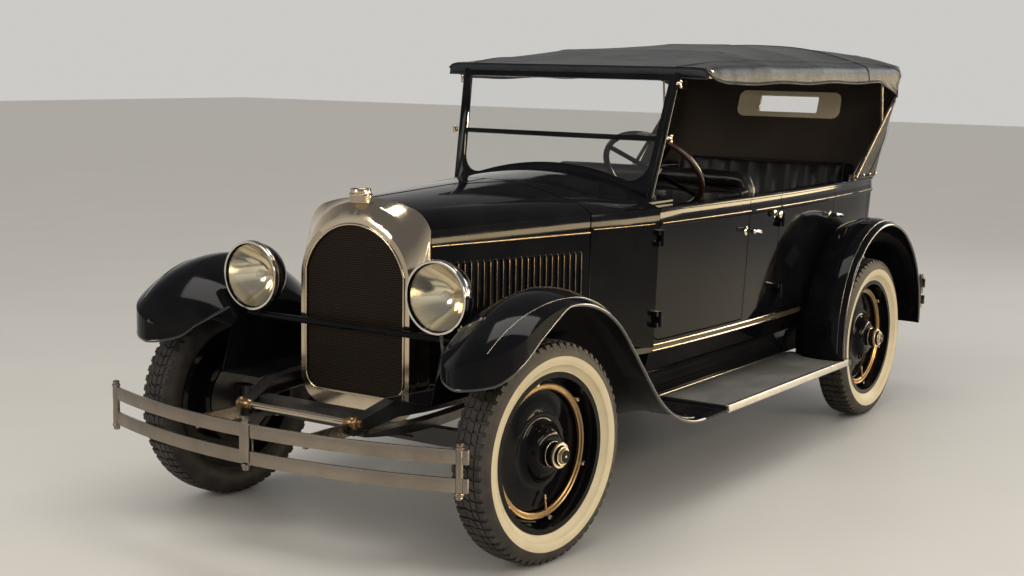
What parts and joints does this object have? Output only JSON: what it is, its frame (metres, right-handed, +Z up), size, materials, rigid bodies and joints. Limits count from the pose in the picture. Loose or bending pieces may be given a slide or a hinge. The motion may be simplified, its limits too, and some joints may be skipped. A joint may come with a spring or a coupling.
{
  "type": "vintage touring car",
  "caption": "Open touring car of the 1920s with a long louvred hood, sweeping fenders, running boards, a raised folding top, turning wheels, steering, doors and hood panels.",
  "frame": {"origin": "on the floor, midway between the faces of the two bumpers and midway between the sides", "axes": "+X forward, +Y to the car's left, +Z up"},
  "size_m": [4.535, 1.7, 1.7859],
  "materials": {
    "gloss_black": "gloss",
    "fender_black": "gloss",
    "chassis_black": "satin",
    "nickel": "polished",
    "tyre_rubber": "matte",
    "wheel_black": "gloss",
    "steel": "satin",
    "engine_iron": "satin",
    "core_brass": "matte",
    "glass": "clear",
    "window_glass": "clear",
    "leather": "satin",
    "canvas": "matte",
    "wood_dark": "satin",
    "wood_brown": "varnished",
    "mat_grey": "matte"
  },
  "bodies": {
    "car": {"frame": "chassis_black", "springs": "chassis_black", "front_axle": "chassis_black", "rear_axle": "chassis_black", "engine": "engine_iron", "exhaust": "steel", "radiator_shell": "nickel", "radiator_core": "core_brass", "headlamps": "nickel", "headlamp_lenses": "glass", "front_bumper": "nickel", "rear_bumper": "nickel", "fender_front_left": "fender_black", "fender_front_right": "fender_black", "fender_rear_left": "fender_black", "fender_rear_right": "fender_black", "body_back": "gloss_black", "body_side_left": "gloss_black", "body_side_right": "gloss_black", "floor": "wood_dark", "cowl": "gloss_black", "running_boards": "mat_grey", "splash_aprons": "fender_black", "fuel_tank": "chassis_black", "spare_tyre": "tyre_rubber", "spare_wheel": "wheel_black", "seat_frames": "wood_dark", "front_cushion": "leather", "front_squab": "leather", "rear_cushion": "leather", "rear_squab": "leather", "windshield_frame": "nickel", "windshield_glass": "glass", "canopy": "canvas", "rear_window": "window_glass", "top_bows": "wood_brown", "steering_column": "chassis_black"},
    "steered_left": {"knuckle_left": "chassis_black"},
    "steered_right": {"knuckle_right": "chassis_black"},
    "front_wheel_left": {"tyre_front_left": "tyre_rubber", "wheel_front_left": "wheel_black"},
    "front_wheel_right": {"tyre_front_right": "tyre_rubber", "wheel_front_right": "wheel_black"},
    "rear_wheel_left": {"tyre_rear_left": "tyre_rubber", "wheel_rear_left": "wheel_black"},
    "rear_wheel_right": {"tyre_rear_right": "tyre_rubber", "wheel_rear_right": "wheel_black"},
    "track_rod": {"tie_rod": "steel"},
    "hand_wheel": {"steering_wheel": "wood_brown"},
    "front_door_left": {"door_front_left": "gloss_black"},
    "front_door_right": {"door_front_right": "gloss_black"},
    "rear_door_left": {"door_rear_left": "gloss_black"},
    "rear_door_right": {"door_rear_right": "gloss_black"},
    "hood_lid_left": {"hood_top_left": "gloss_black"},
    "hood_lid_right": {"hood_top_right": "gloss_black"},
    "hood_wing_left": {"hood_side_left": "gloss_black"},
    "hood_wing_right": {"hood_side_right": "gloss_black"}
  },
  "joints": [
    {"name": "steer_left", "type": "hinge", "parent": "car", "child": "steered_left", "pos_m": [1.5925, 0.62, 0.381], "axis": [0, 0, 1], "range_deg": [-22, 34]},
    {"name": "steer_right", "type": "hinge", "parent": "car", "child": "steered_right", "pos_m": [1.5925, -0.62, 0.381], "axis": [0, 0, 1], "range_deg": [-22, 34]},
    {"name": "spin_front_left", "type": "hinge", "parent": "steered_left", "child": "front_wheel_left", "pos_m": [1.60295, 0.71945, 0.381], "axis": [0.1045, 0.9945, 0], "continuous": true},
    {"name": "spin_front_right", "type": "hinge", "parent": "steered_right", "child": "front_wheel_right", "pos_m": [1.58205, -0.71945, 0.381], "axis": [0.1045, 0.9945, 0], "continuous": true},
    {"name": "spin_rear_left", "type": "hinge", "parent": "car", "child": "rear_wheel_left", "pos_m": [-1.2715, 0.72, 0.381], "axis": [0, 1, 0], "continuous": true},
    {"name": "spin_rear_right", "type": "hinge", "parent": "car", "child": "rear_wheel_right", "pos_m": [-1.2715, -0.72, 0.381], "axis": [0, 1, 0], "continuous": true},
    {"name": "track_rod_pivot", "type": "hinge", "parent": "steered_left", "child": "track_rod", "pos_m": [1.44332, 0.63568, 0.3017], "axis": [0, 0, 1], "range_deg": [-34, 22]},
    {"name": "hand_wheel_turn", "type": "hinge", "parent": "car", "child": "hand_wheel", "pos_m": [0.1425, 0.33, 1.232], "axis": [0.7431, 0, -0.6691], "range_deg": [-477, 309]},
    {"name": "front_door_left_hinge", "type": "hinge", "parent": "car", "child": "front_door_left", "pos_m": [0.582, 0.619, 0.85], "axis": [0, 0, -1], "range_deg": [0, 65]},
    {"name": "front_door_right_hinge", "type": "hinge", "parent": "car", "child": "front_door_right", "pos_m": [0.582, -0.619, 0.85], "axis": [0, 0, 1], "range_deg": [0, 65]},
    {"name": "rear_door_left_hinge", "type": "hinge", "parent": "car", "child": "rear_door_left", "pos_m": [-0.45, 0.663, 0.85], "axis": [0, 0, -1], "range_deg": [0, 65]},
    {"name": "rear_door_right_hinge", "type": "hinge", "parent": "car", "child": "rear_door_right", "pos_m": [-0.45, -0.663, 0.85], "axis": [0, 0, 1], "range_deg": [0, 65]},
    {"name": "hood_left_hinge", "type": "hinge", "parent": "car", "child": "hood_lid_left", "pos_m": [1.6225, 0, 1.192], "axis": [0.9992, 0, -0.0402], "range_deg": [0, 45]},
    {"name": "hood_right_hinge", "type": "hinge", "parent": "car", "child": "hood_lid_right", "pos_m": [1.6225, 0, 1.192], "axis": [-0.9992, 0, 0.0402], "range_deg": [0, 45]},
    {"name": "hood_wing_left_hinge", "type": "hinge", "parent": "hood_lid_left", "child": "hood_wing_left", "pos_m": [1.6165, 0.267, 1.04], "axis": [0.9568, -0.2906, -0.0108], "range_deg": [-23, 1]},
    {"name": "hood_wing_right_hinge", "type": "hinge", "parent": "hood_lid_right", "child": "hood_wing_right", "pos_m": [1.6165, -0.267, 1.04], "axis": [-0.9568, -0.2906, 0.0108], "range_deg": [-23, 1]}
  ],
  "couplings": [
    {"joint": "steer_right", "follows": "steer_left", "ratio": 1},
    {"joint": "track_rod_pivot", "follows": "steer_left", "ratio": -1},
    {"joint": "hand_wheel_turn", "follows": "steer_left", "ratio": -14},
    {"joint": "hood_wing_left_hinge", "follows": "hood_left_hinge", "ratio": -0.5},
    {"joint": "hood_wing_right_hinge", "follows": "hood_right_hinge", "ratio": -0.5}
  ]
}
